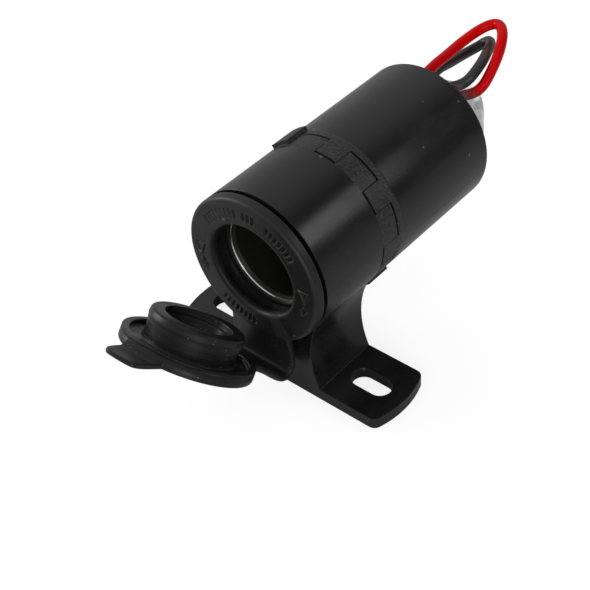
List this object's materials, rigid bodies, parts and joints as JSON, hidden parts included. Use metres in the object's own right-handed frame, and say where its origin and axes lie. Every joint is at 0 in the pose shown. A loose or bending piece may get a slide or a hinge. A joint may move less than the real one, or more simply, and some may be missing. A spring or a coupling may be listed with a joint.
{
  "type": "car 12v power socket",
  "caption": "Surface-mount 12 V power socket: twin-shell barrel on a footed bracket, rubber bezel, hinged rubber cap on a strap, two rear leads",
  "frame": {"origin": "on the mounting face, midway between the two screw slots", "axes": "+Z out of the mounting face, towards the barrel; the barrel lies along Y with its mouth towards -Y; X runs from slot to slot"},
  "size_m": [0.0614, 0.1351, 0.0522],
  "materials": {
    "housing_black": "satin moulded black plastic",
    "barrel_black": "satin moulded black plastic",
    "bezel_rubber": "fine-grained black rubber",
    "cap_rubber": "smooth black rubber",
    "strap_rubber": "smooth black rubber",
    "inner_plastic": "moulded black plastic",
    "seal_rubber": "flat rubber",
    "nut_plastic": "moulded black plastic",
    "sleeve_metal": "drawn plated steel",
    "insulator_brown": "pressed fibre board",
    "contact_brass": "turned brass",
    "terminal_brass": "stamped brass",
    "terminal_steel": "stamped tinned steel",
    "rivet_steel": "plated steel",
    "receptacle_brass": "stamped brass",
    "boot_clear": "milky soft plastic",
    "lead_red": "smooth cable insulation",
    "lead_black": "smooth cable insulation",
    "wrap_clear": "thin clear film"
  },
  "bodies": {
    "socket": {"front_housing": "housing_black", "rear_housing": "barrel_black", "bezel_ring": "bezel_rubber", "strap": "strap_rubber", "socket_body": "inner_plastic", "flange_seal": "seal_rubber", "retaining_nut": "nut_plastic", "contact_sleeve": "sleeve_metal", "inner_insulator": "insulator_brown", "outer_insulator": "insulator_brown", "centre_contact": "contact_brass", "positive_terminal": "terminal_brass", "negative_terminal": "terminal_steel", "negative_rivet": "rivet_steel", "positive_receptacle": "receptacle_brass", "negative_receptacle": "receptacle_brass", "positive_boot": "boot_clear", "negative_boot": "boot_clear", "red_lead": "lead_red", "black_lead": "lead_black", "lead_wrap": "wrap_clear"},
    "cap": {"cap": "cap_rubber"}
  },
  "joints": [
    {"name": "cap_hinge", "type": "hinge", "parent": "socket", "child": "cap", "pos_m": [0, -0.01665, 0.0106], "axis": [-1, 0, 0], "range_deg": [-45, 51], "stiffness_Nm_per_rad": 0.012, "springref_deg": 4.01, "deforming": ["strap"]}
  ]
}
